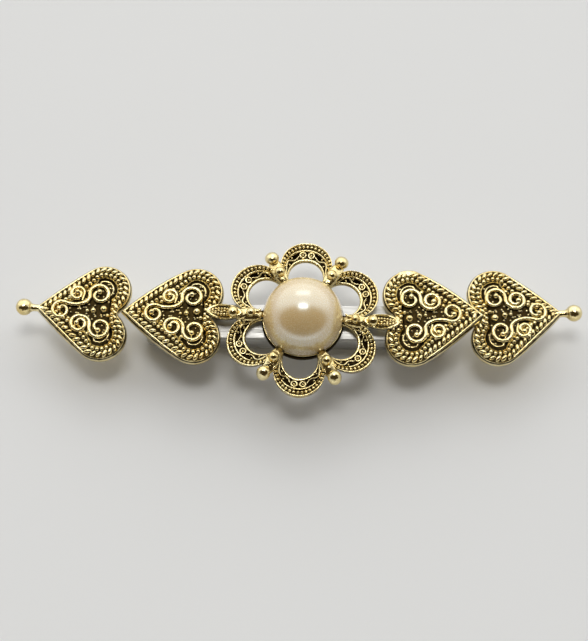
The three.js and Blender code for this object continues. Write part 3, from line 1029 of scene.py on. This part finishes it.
class BARRETTE_OT_clip(bpy.types.Operator):
    """Rounds the edges of the clip's pressed strips, hinge and catch"""

    bl_idname = "barrette.clip"
    bl_label = "Spring clip"

    def execute(self, context):
        for node, body, width, springy in CLIP_PIECES:
            piece = softened(node, width)
            piece.data.materials.clear()
            piece.data.materials.append(spring_steel() if springy else nickel())
            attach(piece, body)
            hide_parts(node)
        return {"FINISHED"}


# ---- Stage ------------------------------------------------------------------------------

def add_light(name, place, aim, width, height, power, tint):
    light = bpy.data.lights.new(name, "AREA")
    light.shape = "RECTANGLE"
    light.size = width
    light.size_y = height
    light.energy = power
    light.color = tint
    lamp = bpy.data.objects.new(name, light)
    lamp.location = place
    lamp.rotation_euler = (Vector(aim) - Vector(place)).to_track_quat("-Z", "Y").to_euler()
    bpy.context.collection.objects.link(lamp)
    return lamp


def room():
    """Soft room light: pale all round, but dim and warm where the viewer stands."""
    world = bpy.data.worlds.new("room")
    bpy.context.scene.world = world
    world.use_nodes = True
    tree = world.node_tree
    background = tree.nodes["Background"]
    coords = tree.nodes.new("ShaderNodeTexCoord")
    shade = tree.nodes.new("ShaderNodeMapping")
    shade.vector_type = "TEXTURE"
    shade.inputs["Rotation"].default_value = ((90 - 57) * DEG, 0, 0)
    shade.inputs["Scale"].default_value = (1.1, 0.79, 20)
    tree.links.new(coords.outputs["Generated"], shade.inputs["Vector"])
    reach = tree.nodes.new("ShaderNodeVectorMath")
    reach.operation = "LENGTH"
    tree.links.new(shade.outputs["Vector"], reach.inputs[0])
    walls = ramp(
        tree, reach.outputs["Value"],
        (0.0, (0.02, 0.014, 0.007)), (0.82, (0.04, 0.03, 0.016)), (1.04, (0.86, 0.87, 0.88)),
    )
    tree.links.new(walls, background.inputs["Color"])
    background.inputs["Strength"].default_value = 1.68
    return world


class BARRETTE_OT_stage(bpy.types.Operator):
    """Sets the pale table, the soft lights and the camera"""

    bl_idname = "barrette.stage"
    bl_label = "Table, lights and camera"

    def execute(self, context):
        group = context.scene.barrette_stage
        let_go()
        bpy.ops.mesh.primitive_grid_add(x_subdivisions=2, y_subdivisions=2, size=3)
        table = bpy.context.object
        table.name = "table"
        table.data.materials.append(made("pale_table", table_top))

        add_light("overhead", (0, 0.19, 1.0), (0, 0, 0), 0.40, 0.2, 2.4, (1.0, 0.995, 0.98))
        add_light("window", (0.0, 1.0, 0.75), (0, 0, 0), 0.7, 0.35, 1.2, (0.98, 0.99, 1.0))
        room()

        low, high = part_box("flower_frame")
        middle = (low + high) / 2
        up = Vector((0, math.sin(group.elevation), math.cos(group.elevation)))
        out = Vector((0, -math.cos(group.elevation), math.sin(group.elevation)))
        aim = middle + Vector((group.aside * MM, 0, 0)) - up * group.below * MM
        camera = bpy.data.cameras.new("camera")
        camera.sensor_width = 36
        camera.lens = camera.sensor_width * group.distance / group.tall
        camera.clip_start = 0.01
        lens = bpy.data.objects.new("camera", camera)
        turn = out.to_track_quat("Z", "Y").to_matrix().to_4x4()
        spin = Matrix.Rotation(group.roll, 4, "Z")
        lens.matrix_world = Matrix.Translation(aim + out * group.distance) @ turn @ spin
        bpy.context.collection.objects.link(lens)
        context.scene.camera = lens
        context.scene.view_settings.view_transform = "Standard"
        return {"FINISHED"}


# ---- Panel and start --------------------------------------------------------------------

STEPS = ["hearts", "flower", "leaves", "pearl", "clip", "stage"]


class BARRETTE_PT_tools(bpy.types.Panel):
    """Lists the barrette's pieces and their sizes"""

    bl_label = "Barrette"
    bl_idname = "BARRETTE_PT_tools"
    bl_space_type = "VIEW_3D"
    bl_region_type = "UI"
    bl_category = "Barrette"

    def draw(self, context):
        for key, group in GROUPS.items():
            box = self.layout.box()
            for name in group.__annotations__:
                box.prop(getattr(context.scene, key), name)
        for step in STEPS:
            self.layout.operator("barrette." + step)


GROUPS = {
    "barrette_heart": BarretteHeartSizes,
    "barrette_flower": BarretteFlowerSizes,
    "barrette_pearl": BarrettePearlSizes,
    "barrette_finish": BarretteFinish,
    "barrette_stage": BarretteStage,
}
CLASSES = [
    *GROUPS.values(), BARRETTE_OT_hearts, BARRETTE_OT_flower, BARRETTE_OT_leaves, BARRETTE_OT_pearl,
    BARRETTE_OT_clip, BARRETTE_OT_stage, BARRETTE_PT_tools,
]


def register():
    for item in CLASSES:
        bpy.utils.register_class(item)
    for key, group in GROUPS.items():
        setattr(bpy.types.Scene, key, bpy.props.PointerProperty(type=group))


def unregister():
    for key in GROUPS:
        delattr(bpy.types.Scene, key)
    for item in reversed(CLASSES):
        bpy.utils.unregister_class(item)


def main():
    register()
    for step in STEPS:
        getattr(bpy.ops.barrette, step)()
    let_go()
    bpy.context.view_layer.update()


if __name__ == "__main__":
    main()
